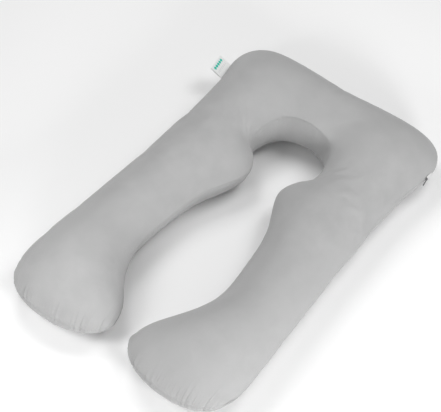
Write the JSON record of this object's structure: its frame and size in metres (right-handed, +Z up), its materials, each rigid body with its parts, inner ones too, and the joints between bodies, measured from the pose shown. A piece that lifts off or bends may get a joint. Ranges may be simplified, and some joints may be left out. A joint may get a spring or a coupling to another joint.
{
  "type": "U-shaped body pillow",
  "caption": "Full body pillow with a head bar and long legs around a gap for the neck and body, in a zipped jersey cover.",
  "frame": {"origin": "middle of the footprint, on the floor under the pillow", "axes": "+X across the width towards the leg with the zip slider, +Y towards the bar behind the head, +Z up"},
  "size_m": [0.9006, 1.3558, 0.2152],
  "materials": {
    "cover_jersey": "soft grey jersey with a short smooth nap",
    "label_satin": "white woven satin tape",
    "slider_metal": "dark grey enamelled die-cast",
    "puller_metal": "dark grey enamelled sheet"
  },
  "bodies": {
    "root": {"pillow": "cover_jersey", "label": "label_satin", "zip_slider": "slider_metal", "zip_puller": "puller_metal"}
  },
  "joints": []
}
